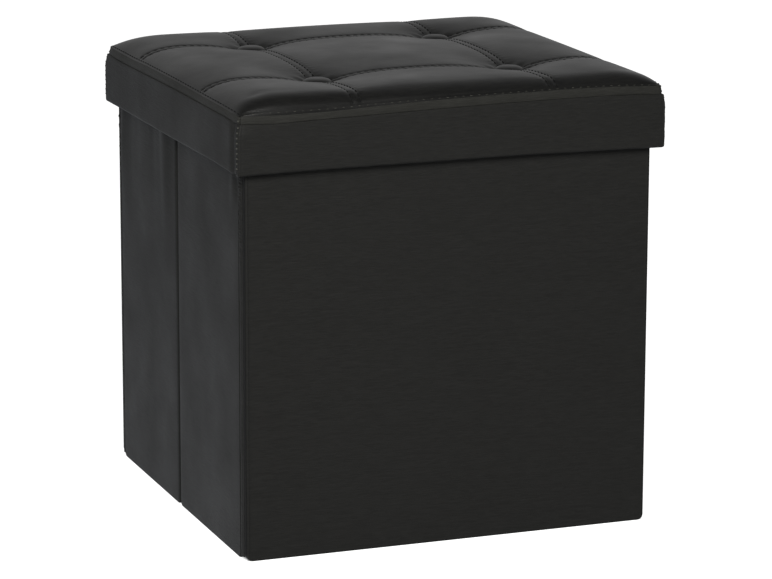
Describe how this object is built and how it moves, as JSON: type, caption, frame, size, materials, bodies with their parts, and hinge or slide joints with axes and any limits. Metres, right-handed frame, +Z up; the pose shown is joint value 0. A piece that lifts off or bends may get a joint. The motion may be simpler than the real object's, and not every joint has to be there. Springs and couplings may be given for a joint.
{
  "type": "storage ottoman",
  "caption": "Square cube seat with a padded, button-tufted lift-off lid over a hollow storage shell whose side walls fold inwards to lie flat, with a loose base board.",
  "frame": {"origin": "on the floor under the middle of the shell", "axes": "+Z up, -Y towards the front wall, +X towards the right-hand side wall"},
  "size_m": [0.3804, 0.3764, 0.3974],
  "materials": {
    "vinyl": "black polyurethane faux leather with a fine crosswise grain, satin",
    "cushion_vinyl": "black polyurethane faux leather, smooth and satin, quilted with double rows of stitching",
    "button_vinyl": "black polyurethane faux leather stretched over a shell",
    "lining": "black non-woven polypropylene with a dimpled bond pattern",
    "ribbon": "black ribbed polyester ribbon",
    "fibreboard": "bare medium density fibreboard",
    "hardboard": "bare brown hardboard",
    "foam": "open-cell polyurethane foam",
    "twine": "waxed nylon tufting twine",
    "washer_steel": "zinc plated",
    "staple_steel": "galvanised wire"
  },
  "bodies": {
    "base": {"base_board": "hardboard", "base_cloth": "lining", "pull_tab": "ribbon"},
    "back": {"back_board": "fibreboard", "back_cover": "vinyl", "back_lining": "lining", "left_rear_gusset": "vinyl", "right_rear_gusset": "vinyl"},
    "front": {"front_board": "fibreboard", "front_cover": "vinyl", "front_lining": "lining", "left_front_gusset": "vinyl", "right_front_gusset": "vinyl"},
    "left_rear": {"left_rear_board": "fibreboard", "left_rear_cover": "vinyl", "left_rear_lining": "lining", "left_fold_strip": "vinyl"},
    "left_front": {"left_front_board": "fibreboard", "left_front_cover": "vinyl", "left_front_lining": "lining"},
    "right_rear": {"right_rear_board": "fibreboard", "right_rear_cover": "vinyl", "right_rear_lining": "lining", "right_fold_strip": "vinyl"},
    "right_front": {"right_front_board": "fibreboard", "right_front_cover": "vinyl", "right_front_lining": "lining"},
    "lid": {"lid_board": "fibreboard", "skirt_board_front": "fibreboard", "skirt_board_back": "fibreboard", "skirt_board_left": "fibreboard", "skirt_board_right": "fibreboard", "skirt_cover": "vinyl", "skirt_lining": "lining", "skirt_staples": "staple_steel", "cushion_foam": "foam", "cushion_band": "vinyl", "cushion_top": "cushion_vinyl", "tufting_buttons": "button_vinyl", "button_twine": "twine", "twine_washers": "washer_steel"}
  },
  "joints": [
    {"name": "shell_lift", "type": "slide", "parent": "base", "child": "back", "axis": [0, 0, 1], "range_m": [0, 0.0702]},
    {"name": "wall_fold", "type": "hinge", "parent": "back", "child": "left_rear", "pos_m": [-0.1741, 0.1724, 0], "axis": [0, 0, -1], "range_deg": [-90, 0], "deforming": ["left_rear_gusset"]},
    {"name": "left_mid_fold", "type": "hinge", "parent": "left_rear", "child": "left_front", "pos_m": [-0.1823, 0, 0], "axis": [0, 0, 1], "range_deg": [-180, 0], "deforming": ["left_fold_strip"]},
    {"name": "front_corner_fold", "type": "hinge", "parent": "left_front", "child": "front", "pos_m": [-0.1741, -0.1724, 0], "axis": [0, 0, -1], "range_deg": [-90, 0], "deforming": ["left_front_gusset"]},
    {"name": "right_corner_fold", "type": "hinge", "parent": "back", "child": "right_rear", "pos_m": [0.1741, 0.1724, 0], "axis": [0, 0, 1], "range_deg": [-90, 0], "deforming": ["right_rear_gusset"]},
    {"name": "right_mid_fold", "type": "hinge", "parent": "right_rear", "child": "right_front", "pos_m": [0.1823, 0, 0], "axis": [0, 0, -1], "range_deg": [-180, 0], "deforming": ["right_fold_strip", "right_front_gusset"]},
    {"name": "lid_lift", "type": "slide", "parent": "back", "child": "lid", "axis": [0, 0, 1], "range_m": [0, 0.4]}
  ],
  "couplings": [
    {"joint": "shell_lift", "follows": "wall_fold", "m_per_rad": -0.044563},
    {"joint": "left_mid_fold", "follows": "wall_fold", "ratio": 2},
    {"joint": "front_corner_fold", "follows": "wall_fold", "ratio": 1},
    {"joint": "right_corner_fold", "follows": "wall_fold", "ratio": 1},
    {"joint": "right_mid_fold", "follows": "wall_fold", "ratio": 2}
  ]
}
